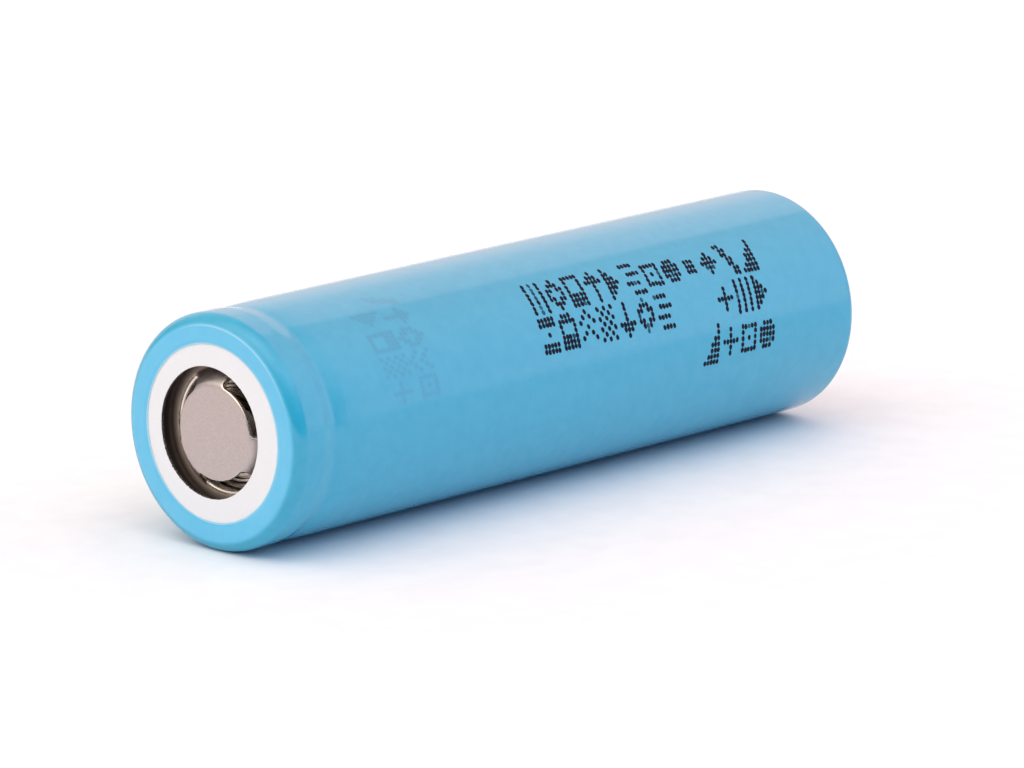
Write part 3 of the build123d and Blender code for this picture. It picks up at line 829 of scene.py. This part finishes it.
def washer_shape(x, r, theta):
    """Moves the hole off centre and roughens its edge, most where the punch left torn fibres."""
    inward = smoothstep(HOLE_R + 0.9, HOLE_R, r)
    degrees = np.degrees(theta)
    torn = (0.22 + 0.75 * bell(degrees, middle=222, width=30)
            + 0.4 * bell(degrees, middle=262, width=16))
    at_edge = smoothstep(HOLE_R + 0.10, HOLE_R, r)
    depth = (x - X_CRIMP) / (X_WASHER - X_CRIMP)
    top = waves(theta, turns=(30, 150), falloff=0.15, seed=31)
    low = waves(theta, turns=(30, 150), falloff=0.15, seed=32)
    tooth = top * depth + low * (1 - depth)
    tooth = np.sign(tooth) * np.abs(tooth) ** 1.3
    return (r + inward * (HOLE_SHIFT_Y * np.cos(theta)) + at_edge * torn * 0.045 * tooth
            + inward * 0.015 * waves(theta, turns=(2, 9), falloff=0.4, seed=33))


def build_washer(material):
    profile = fillet_path(
        [(X_CRIMP, HOLE_R), (X_WASHER, HOLE_R), (X_WASHER, WASHER_R), (X_CRIMP, WASHER_R)],
        [0.02, 0.05, 0.04, 0.04], step=15, closed=True,
    )
    profile = densify(np.vstack([profile, profile[:1]]), washer_spacing)[:-1]
    washer = revolve("fibre_washer", profile, material, n=WASHER_SEGMENTS, shape=washer_shape,
                     slot="washer_board", replaces="insulating_washer", sharp=70)
    # the hole's cut wall, where the painted shade goes
    edge = (smoothstep(HOLE_R + 0.03, HOLE_R + 0.004, profile[:, 1])
            * smoothstep(X_WASHER + 0.01, X_WASHER - 0.04, profile[:, 0]))
    set_attribute(washer, "edge", np.tile(edge, WASHER_SEGMENTS))


# ---- can ---------------------------------------------------------------------------------------

CAN_PATH = [
    (X_FLOOR, 0.0), (X_FLOOR, CAN_R), (59.50, CAN_R), (60.45, BEAD_R), (X_GROOVE_END, BEAD_R),
    (X_GROOVE_OUT, CAN_R), (X_CRIMP, CAN_R), (X_CRIMP, 6.10),
]
CAN_RADII = [0.75, 0.50, 0.50, 0.50, 0.45, 0.95]
# the floor's outer face (x, r), with a shallow ring round its middle
FLOOR_PROFILE = [
    (X_FLOOR, 0.0), (X_FLOOR, 0.35), (X_FLOOR, 0.66), (0.012, 0.78), (0.030, 0.86),
    (0.034, 0.95), (0.030, 1.04), (0.010, 1.12), (-0.004, 1.20), (0.0, 1.32), (0.0, 2.0),
    (0.0, 3.0), (0.0, 4.0), (0.0, 5.0), (0.0, 6.0), (0.0, 7.0),
]


def build_can(material):
    inner, inner_radii = offset_path(CAN_PATH, CAN_RADII, CAN_WALL)
    inner[0] = (X_FLOOR + CAN_FLOOR, 0.0)
    inner[1] = (X_FLOOR + CAN_FLOOR, inner[1][1])
    radii = [0.0] + CAN_RADII + [0.03, 0.03] + inner_radii[::-1] + [0.0]
    profile = fillet_path(CAN_PATH + inner[::-1], radii, step=9, closed=True)
    corner = int(np.where((profile[:, 0] < 1e-6) & (profile[:, 1] > 7.5))[0][0])
    profile = np.vstack([FLOOR_PROFILE, profile[corner:]])
    revolve("steel_can", profile, material, slot="can_steel", replaces="can", sharp=30)


# ---- positive cap: three windows with rounded corners and rolled cut edges ---------------------

# outer face as (r, x), from the rim to the axis
CAP_PROFILE = fillet_path(
    [(FLANGE_R, X_FLANGE), (4.95, X_FLANGE), (3.75, X_BUTTON), (0.0, X_BUTTON)],
    [0.30, 0.65], step=2.0,
)
WINDOW_MIDS = [42.0 + 120.0 * i for i in range(3)]
WINDOW_IN_R, WINDOW_OUT_R, WINDOW_SPAN = 3.80, 4.83, 74.0
WINDOW_CORNER, WINDOW_STEP = 0.38, 0.045
ROLL = 0.25                         # radius of the windows' rolled edge
ROLL_STEPS = [0.0, 0.008, 0.025, 0.055, 0.095, 0.14, 0.19, ROLL]
RIM_SEGMENTS = 256
# radii of the circles of points that fill the plan
FILL_RADII = [
    0.5, 1.0, 1.5, 2.0, 2.4, 2.75, 3.0, 3.15, 3.25, 3.33, 3.41, 3.49, 3.57, 3.65, 3.73, 3.81,
    3.89, 3.97, 4.05, 4.15, 4.27, 4.40, 4.53, 4.65, 4.74, 4.82, 4.90, 4.98, 5.06, 5.14, 5.24,
    5.4, 5.7, 6.1, 6.6, 7.1, 7.5,
]
WALL_ROWS = (0.30, 0.55, 0.75, 0.92)    # depths of the wall's inner rows, as shares of it
CAP_SHARP = 48


def cap_face(r):
    """Outer face's x and outward normal (nx, nr) at radius r."""
    radii, heights = CAP_PROFILE[::-1, 0], CAP_PROFILE[::-1, 1]
    e = 0.02
    rise = np.interp(r + e, radii, heights) - np.interp(np.maximum(r - e, 0), radii, heights)
    slope = rise / np.where(r > e, 2 * e, e + r)
    normal = np.stack([np.ones_like(slope), -slope], -1)
    return np.interp(r, radii, heights), normal / np.linalg.norm(normal, axis=-1)[..., None]


def window_loop(middle):
    """Anticlockwise loop (y, z) of a ring sector with rounded corners."""
    a0, a1 = math.radians(-WINDOW_SPAN / 2), math.radians(WINDOW_SPAN / 2)
    # corner circles are tangent to the two arcs and the radial sides
    out_centre, in_centre = WINDOW_OUT_R - WINDOW_CORNER, WINDOW_IN_R + WINDOW_CORNER
    out_in, in_in = math.asin(WINDOW_CORNER / out_centre), math.asin(WINDOW_CORNER / in_centre)
    half_pi = math.pi / 2
    points = []
    # centre's distance and angle, radius, start, end
    for distance, direction, radius, start, end in (
        (0, 0, WINDOW_OUT_R, a0 + out_in, a1 - out_in),
        (out_centre, a1 - out_in, WINDOW_CORNER, a1 - out_in, a1 + half_pi),
        (in_centre, a1 - in_in, WINDOW_CORNER, a1 + half_pi, a1 - in_in + math.pi),
        (0, 0, WINDOW_IN_R, a1 - in_in, a0 + in_in),
        (in_centre, a0 + in_in, WINDOW_CORNER, a0 + in_in + math.pi,
         a0 - half_pi + 2 * math.pi),
        (out_centre, a0 + out_in, WINDOW_CORNER, a0 - half_pi, a0 + out_in),
    ):
        y, z = distance * math.cos(direction), distance * math.sin(direction)
        count = max(3, int(abs(end - start) * radius / WINDOW_STEP))
        for t in np.linspace(start, end, count, endpoint=False):
            points.append((y + radius * math.cos(t), z + radius * math.sin(t)))
    y, z = np.array(points).T
    cos, sin = math.cos(math.radians(middle)), math.sin(math.radians(middle))
    return np.stack([y * cos - z * sin, y * sin + z * cos], 1)


def loop_offset(loop, distance):
    """The anticlockwise loop grown by a distance."""
    t = np.roll(loop, -1, 0) - np.roll(loop, 1, 0)
    t /= np.linalg.norm(t, axis=1)[:, None] + 1e-12
    return loop + np.stack([t[:, 1], -t[:, 0]], 1) * distance


def in_polygon(points, polygon):
    """Whether each point is inside the polygon."""
    y, z = points[:, 0], points[:, 1]
    inside = np.zeros(len(points), bool)
    for (yi, zi), (yj, zj) in zip(polygon, np.roll(polygon, 1, 0)):
        inside ^= ((zi > z) != (zj > z)) & (y < (yj - yi) * (z - zi) / (zj - zi + 1e-15) + yi)
    return inside


def circle(radius, n, phase=0.0):
    return [(radius * math.cos(2 * math.pi * (i + phase) / n),
             radius * math.sin(2 * math.pi * (i + phase) / n)) for i in range(n)]


def fill_points(windows):
    """Points on circles, clear of the windows and their rolled edges."""
    points = [(0.0, 0.0)]
    for radius in FILL_RADII:
        count = 180 if radius > 5.4 else max(12, int(2 * math.pi * radius / 0.13))
        points += circle(radius, count, phase=rng.uniform(0, 1))
    points = np.array(points)
    rolled = [loop_offset(window, ROLL) for window in windows]
    for loop in rolled:
        points = points[~in_polygon(points, loop)]
    for loop in rolled:
        distance = np.sqrt(((points[:, None] - loop[None]) ** 2).sum(2)).min(1)
        points = points[distance > 0.035]
    return points.tolist()


def cap_plan():
    """The triangulated plan: points (y, z), each one's drop in the rolled edges, triangles, and
    the loops of points round the windows and the rim."""
    points, drops, edges, loops = [], [], [], []

    def add_ring(ring, drop):
        ids = list(range(len(points), len(points) + len(ring)))
        points.extend(ring)
        drops.extend([drop] * len(ring))
        edges.extend(zip(ids, ids[1:] + ids[:1]))
        return ids

    windows = [window_loop(middle) for middle in WINDOW_MIDS]
    for window in windows:
        rings = [add_ring(loop_offset(window, d).tolist(),
                          ROLL - math.sqrt(max(0.0, ROLL**2 - (ROLL - d) ** 2)))
                 for d in ROLL_STEPS]
        loops.append(rings[0])
    loops.append(add_ring(circle(FLANGE_R, RIM_SEGMENTS), 0.0))
    fill = fill_points(windows)
    points += fill
    drops += [0.0] * len(fill)

    result = delaunay_2d_cdt([Vector(p) for p in points], edges, [], 0, 1e-6)
    plan = np.array([[v[0], v[1]] for v in result[0]])
    plan_drops = np.zeros(len(plan))
    new_id = {}
    for new, olds in enumerate(result[3]):
        for old in olds:
            new_id[old] = new
            plan_drops[new] = max(plan_drops[new], drops[old])
    centres = np.array([plan[list(face)].mean(0) for face in result[2]])
    open_faces = np.zeros(len(centres), bool)
    for window in windows:
        open_faces |= in_polygon(centres, window)
    triangles = [list(face) for face, is_open in zip(result[2], open_faces) if not is_open]
    loops = [[new_id[i] for i in ids] for ids in loops]
    loops = [[v for i, v in enumerate(ring) if v != ring[i - 1]] for ring in loops]
    return plan, plan_drops, triangles, loops


def build_cap(material):
    plan, drops, triangles, loops = cap_plan()
    radius = np.hypot(plan[:, 0], plan[:, 1])
    face_x, face_normal = cap_face(radius)
    unit = plan / np.maximum(radius, 1e-9)[:, None]
    normal = np.stack([face_normal[:, 0], face_normal[:, 1] * unit[:, 0],
                       face_normal[:, 1] * unit[:, 1]], 1)
    top = np.stack([face_x, plan[:, 0], plan[:, 1]], 1)
    under = top - normal * CAP_T
    top = top - normal * drops[:, None]
    # the button isn't dead flat
    top[:, 0] += (0.006 * np.sin(plan[:, 0] * 0.7 + 0.4) * np.cos(plan[:, 1] * 0.6 + 1.1)
                  * (radius < 3.4))
    count = len(plan)
    faces = []
    for a, b, c in triangles:
        ab, ac = plan[b] - plan[a], plan[c] - plan[a]
        if ab[0] * ac[1] - ac[0] * ab[1] < 0:
            b, c = c, b
        faces.append([a, b, c])                 # outer face looks along +X
        faces.append([c + count, b + count, a + count])
    wall = []
    for ring in loops:
        is_rim = ring is loops[-1]
        n = len(ring)
        rows = [ring]
        for depth in WALL_ROWS:
            row = []
            for i, v in enumerate(ring):
                point = top[v] * (1 - depth) + under[v] * depth
                if not is_rim and depth > 0.5:
                    # the windows' torn zone waves a little across the wall
                    t = plan[ring[(i + 1) % n]] - plan[ring[i - 1]]
                    t = t / (np.linalg.norm(t) + 1e-12)
                    lean = (0.012 * (1 + 0.7 * math.sin(i * 0.9) * math.sin(i * 0.37 + 1))
                            * math.sin((depth - 0.5) * 2 * math.pi))
                    point = point + np.array([0, -t[1], t[0]]) * lean
                row.append(count * 2 + len(wall))
                wall.append(point)
            rows.append(row)
        rows.append([v + count for v in ring])
        for u, v in zip(rows, rows[1:]):
            for i in range(n):
                j = (i + 1) % n
                faces.append([u[i], v[i], v[j], u[j]])
    verts = np.vstack([top, under, np.array(wall)])
    cap = make_mesh("button_cap", verts, faces, material, slot="cap_nickel",
                    replaces="positive_cap", sharp=CAP_SHARP)
    # the walls' normals are made to point outwards
    bm = bmesh.new()
    bm.from_mesh(cap.data)
    bmesh.ops.recalc_face_normals(bm, faces=bm.faces)
    bm.to_mesh(cap.data)
    bm.free()
    shade(cap.data, CAP_SHARP)
    # share of the rolled edges, for their burnish and the painted highlight on them
    burnish_and_highlight = np.zeros(len(verts))
    burnish_and_highlight[:count] = np.clip(drops / 0.03, 0, 1)
    set_attribute(cap, "burnish_and_highlight", burnish_and_highlight)


# ---- vent disc with its coined ring, and the diaphragm in its middle ---------------------------


def build_vent(material):
    top = X_VENT_TOP
    profile = fillet_path(
        [
            (X_FLANGE + HEM_T, 6.55), (X_FLANGE + HEM_T, 8.25), (X_VENT_RIM, 8.25),
            (X_VENT_RIM, 5.75), (X_VENT_LOW, 5.05), (X_VENT_LOW, SCORE_R), (top, SCORE_R),
            (top, 4.14), (top - COIN, 4.24), (top - COIN, 4.44), (top, 4.54), (top, 4.84),
            (X_VENT_RIM + VENT_T, 5.56), (X_VENT_RIM + VENT_T, 7.95), (X_FLANGE, 7.95),
            (X_FLANGE, 6.55),
        ],
        [0.08, 0.35, 0.40, 0.40, 0.15, 0.0, 0.05, 0.10,
         0.08, 0.08, 0.10, 0.12, 0.15, 0.40, 0.10, 0.08],
        step=12, closed=True,
    )
    revolve("vent_disc_stamped", profile, material, slot="vent_aluminium",
            replaces="vent_disc", sharp=40)


def build_diaphragm(material):
    top = X_VENT_TOP
    x_weld = X_VENT_LOW - 0.90          # the dish's low middle
    x_thin = x_weld + 0.22              # its +X face, where the sheet is thinner
    rim_r = SCORE_R - SCORE_GAP
    lower = [(X_VENT_LOW, rim_r), (X_VENT_LOW, 2.70), (x_weld, 1.20), (x_weld, 0.0)]
    bend = offset_path(lower, [0.35, 0.30], -VENT_T)[0][1]
    upper = [(top, rim_r), (top, 3.44), (top - COIN, 3.34), (top - COIN, 3.16), (top, 3.06),
             bend, (x_thin, 1.02), (x_thin, 0.0)]
    radii = [0.0, 0.35, 0.30, 0.0, 0.03, 0.10, 0.08, 0.08, 0.10, 0.25, 0.20, 0.0]
    profile = fillet_path(lower + upper, radii, step=12, closed=True)
    revolve("vent_diaphragm_dished", profile, material, n=224, slot="diaphragm_aluminium",
            replaces="vent_diaphragm", sharp=40, body="vent_center")


# ---- gasket ------------------------------------------------------------------------------------


def gasket_shape(x, r, theta):
    """The squeezed inner lip isn't perfectly round."""
    lip = smoothstep(6.2, 5.75, r)
    return r + lip * 0.03 * waves(theta, turns=(2, 7), falloff=0.5, seed=41)


def build_gasket(material):
    slope = (X_GROOVE_OUT - X_GROOVE_END) / (CAN_R - BEAD_R)
    flank_foot = X_GROOVE_END + CAN_WALL / math.cos(math.atan(slope))

    def flank_x(r):
        """x of the gasket's face along the can's groove."""
        return flank_foot + slope * (r - BEAD_R) + 0.01

    profile = fillet_path(
        [
            (X_FLANGE, 5.70), (X_CRIMP - CAN_WALL, 5.70), (X_CRIMP - CAN_WALL, CAN_IN_R),
            (flank_x(CAN_IN_R), CAN_IN_R), (flank_x(7.97), 7.97), (flank_x(7.97), 6.90),
            (X_VENT_RIM, 6.90), (X_VENT_RIM, 8.25), (X_FLANGE + HEM_T, 8.25),
            (X_FLANGE + HEM_T, 6.55), (X_FLANGE, 6.55),
        ],
        [0.03, 0.15, 0.71, 0.22, 0.0, 0.15, 0.10, 0.35, 0.35, 0.0, 0.0], step=12, closed=True,
    )
    revolve("gasket_ring", profile, material, shape=gasket_shape, slot="gasket_plastic",
            replaces="crimp_gasket", sharp=40)


# ---- the cell ----------------------------------------------------------------------------------

build_film(film_material())
build_print()
build_washer(washer_material())
build_can(can_material())
build_cap(nickel_material("nickel_plate", base=(0.60, 0.52, 0.495), rough=(0.36, 0.50),
                          cap=True))
# painted shade: the aluminium vent disc and diaphragm get a dark bronze base for the shade they
# lie in inside the cap's windows
build_vent(metal_sheet_material("vent_aluminium_painted_shade", base=(0.56, 0.49, 0.43),
                                rough=(0.22, 0.32)))
build_diaphragm(metal_sheet_material("diaphragm_aluminium_painted_shade", base=(0.50, 0.43, 0.37),
                                     rough=(0.20, 0.30)))
build_gasket(gasket_material())

# finishes of the pieces kept from the CAD
AMBER, CLEAR = (0.52, 0.20, 0.025), (0.84, 0.86, 0.88)
finishes = {
    "cid_insulator_ring": ring_plastic_material(),
    "cid_support_disc": metal_sheet_material(
        "support_disc_aluminium", base=(0.70, 0.70, 0.71), rough=(0.22, 0.36)),
    "weld_plate": metal_sheet_material(
        "weld_plate_aluminium", base=(0.76, 0.76, 0.77), rough=(0.20, 0.34), ringed=False),
    "positive_tab": metal_sheet_material(
        "tab_aluminium_strip", base=(0.80, 0.80, 0.81), rough=(0.18, 0.30), ringed=False),
    "negative_tab": metal_sheet_material(
        "tab_nickel_strip", base=(0.58, 0.55, 0.50), rough=(0.24, 0.38), ringed=False),
    "positive_tab_tape": thin_film_material("tape_amber_positive", AMBER, rough=(0.18, 0.30)),
    "negative_tab_tape": thin_film_material("tape_amber_negative", AMBER, rough=(0.18, 0.30)),
    "roll_closing_tape": thin_film_material(
        "tape_green_closing", base=(0.045, 0.24, 0.13), rough=(0.20, 0.34)),
    "upper_insulator": fibre_disc_material(),
    "lower_insulator": fibre_disc_material(),
    "cathode_sheet": coating_material("cathode_oxide_coating", base=(0.020, 0.020, 0.022)),
    "anode_sheet": coating_material("anode_graphite_coating", base=(0.035, 0.034, 0.034)),
    "separator_inner": thin_film_material("separator_film_inner", CLEAR, rough=(0.35, 0.5)),
    "separator_outer": thin_film_material("separator_film_outer", CLEAR, rough=(0.35, 0.5)),
    "center_pin": nickel_material("pin_steel_tube", base=(0.50, 0.50, 0.50), rough=(0.26, 0.40)),
}
for node, material in finishes.items():
    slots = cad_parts[node].data.materials
    slots.clear()
    slots.append(material)

# ---- floor -------------------------------------------------------------------------------------

scene = bpy.context.scene
FLOOR_HALF = 4.0                    # metres
floor_z = -CELL_R * MM
floor_mesh = bpy.data.meshes.new("floor")
corners = [(x * FLOOR_HALF, y * FLOOR_HALF, floor_z)
           for x, y in ((-1, -1), (1, -1), (1, 1), (-1, 1))]
floor_mesh.from_pydata(corners, [], [[0, 1, 2, 3]])
floor = bpy.data.objects.new("floor", floor_mesh)
scene.collection.objects.link(floor)
floor_mesh.materials.append(floor_material())

# ---- light: soft lobes all round, and a wide panel on the -Y side ------------------------------

# azimuth and elevation in degrees, sharpness, then red, green and blue
LOBES = [
    (30, 4, 12, 0.000, 0.000, 0.024), (60, 4, 12, 0.000, 0.000, 0.064),
    (90, 4, 12, 0.000, 0.050, 0.149), (120, 4, 12, 0.066, 0.121, 0.182),
    (150, 4, 12, 0.695, 0.582, 0.591), (180, 4, 12, 0.318, 0.292, 0.303),
    (210, 4, 12, 0.149, 0.108, 0.122), (240, 4, 12, 0.371, 0.350, 0.368),
    (270, 4, 12, 0.200, 0.203, 0.208), (0, 26, 12, 0.098, 0.108, 0.068),
    (30, 26, 12, 0.000, 0.000, 0.037), (60, 26, 12, 0.000, 0.031, 0.170),
    (90, 26, 12, 0.000, 0.137, 0.305), (120, 26, 12, 0.000, 0.052, 0.158),
    (150, 26, 12, 0.383, 0.237, 0.227), (180, 26, 12, 0.291, 0.119, 0.072),
    (210, 26, 12, 0.489, 0.300, 0.270), (240, 26, 12, 0.357, 0.327, 0.335),
    (270, 26, 12, 0.317, 0.339, 0.335), (300, 26, 12, 0.335, 0.344, 0.305),
    (330, 26, 12, 1.282, 1.219, 1.162), (0, 50, 12, 1.391, 1.297, 1.252),
    (45, 50, 12, 0.567, 0.658, 0.702), (90, 50, 12, 0.981, 1.145, 1.247),
    (135, 50, 12, 0.933, 0.902, 0.924), (180, 50, 12, 0.412, 0.179, 0.090),
    (225, 50, 12, 0.053, 0.000, 0.000), (270, 50, 12, 0.079, 0.132, 0.097),
    (315, 50, 12, 0.472, 0.466, 0.396), (0, 80, 8, 1.196, 1.116, 1.078),
    (8, 40, 150, 0.178, 0.162, 0.158), (173, 43, 80, 0.245, 0.143, 0.115),
    (161, 38, 80, 0.235, 0.144, 0.123), (150, 32, 80, 0.227, 0.141, 0.124),
    (143, 22, 80, 0.444, 0.345, 0.334), (139, 12, 80, 0.357, 0.263, 0.252),
    (137, 3, 80, 0.757, 0.657, 0.651), (-172, 43, 80, 0.250, 0.123, 0.072),
    (118, 10, 40, 0.000, 0.024, 0.061),
]
# colour, then one ramp for each side: axis of the view direction, dark from, bright from
NEAR_SIDE, UPPER_SIDE = (1, -0.165, -0.235), (2, 0.92, 0.80)
PANELS = [
    # the wide panel
    ((0.361, 0.270, 0.254), (NEAR_SIDE, (0, 0.25, -0.05), UPPER_SIDE)),
    # a brighter strip along the panel's edge nearest Y = 0
    ((0.286, 0.193, 0.156),
     (NEAR_SIDE, (1, -0.56, -0.28), (0, 0.10, -0.30), UPPER_SIDE, (2, 0.30, 0.50))),
]


def studio_world(world):
    g = Graph(world)
    view = g.node("TexCoord").outputs["Generated"]
    lights = []
    for azimuth, elevation, sharpness, *colour in LOBES:
        a, e = math.radians(azimuth), math.radians(elevation)
        direction = (math.cos(e) * math.cos(a), math.cos(e) * math.sin(a), math.sin(e))
        facing = g.node("VectorMath", {0: view, 1: direction}, operation="DOT_PRODUCT")
        power = g.math("MULTIPLY_ADD", facing.outputs["Value"], sharpness, -sharpness)
        lights.append((colour, g.math("EXPONENT", power)))
    axes = g.node("SeparateXYZ", {0: view}).outputs
    for colour, sides in PANELS:
        mask = None
        for axis, dark, bright in sides:
            ramp = g.step(axes[axis], span=(dark, bright))
            mask = g.times(mask, ramp) if mask else ramp
        lights.append((colour, mask))
    total = None
    for colour, strength in lights:
        light = g.vector("SCALE", {0: colour, "Scale": strength})
        total = g.vector("ADD", {0: total, 1: light}) if total else light
    # beyond the floor's edge the camera sees plain white rather than the lights
    lit = g.node("Background", {"Color": total})
    plain = g.node("Background", {"Color": (1, 1, 1)})
    camera_ray = g.node("LightPath").outputs["Is Camera Ray"]
    mixed = g.node("MixShader", {0: camera_ray, 1: lit.outputs[0], 2: plain.outputs[0]})
    g.node("OutputWorld", {0: mixed.outputs[0]})


scene.world = bpy.data.worlds.new("studio")
studio_world(scene.world)
scene.world.cycles.sampling_method = "MANUAL"
scene.world.cycles.sample_map_resolution = 256

# ---- camera ------------------------------------------------------------------------------------

CAMERA_PLACE = (416.4498, 345.6568, 122.8857)
CAMERA_YAW, CAMERA_PITCH, CAMERA_ROLL = -2.410128, -0.236514, 0.015075   # radians
CAMERA_LENS, SENSOR_WIDTH = 238.038961, 36.0

camera_data = bpy.data.cameras.new("camera")
camera = bpy.data.objects.new("camera", camera_data)
scene.collection.objects.link(camera)
forward = Vector((math.cos(CAMERA_PITCH) * math.cos(CAMERA_YAW),
                  math.cos(CAMERA_PITCH) * math.sin(CAMERA_YAW), math.sin(CAMERA_PITCH)))
level = forward.cross(Vector((0, 0, 1))).normalized()
upright = level.cross(forward)
right = level * math.cos(CAMERA_ROLL) + upright * math.sin(CAMERA_ROLL)
up = upright * math.cos(CAMERA_ROLL) - level * math.sin(CAMERA_ROLL)
rotation = Matrix((right, up, -forward)).transposed()
camera.matrix_world = Matrix.Translation(Vector(CAMERA_PLACE) * MM) @ rotation.to_4x4()
camera_data.sensor_fit = "HORIZONTAL"
camera_data.sensor_width = SENSOR_WIDTH
camera_data.lens = CAMERA_LENS
camera_data.clip_start = 0.01
camera_data.clip_end = 30.0
scene.camera = camera

scene.view_settings.view_transform = "Standard"
scene.view_settings.look = "None"
scene.view_settings.exposure = 0.0
scene.view_settings.gamma = 1.0
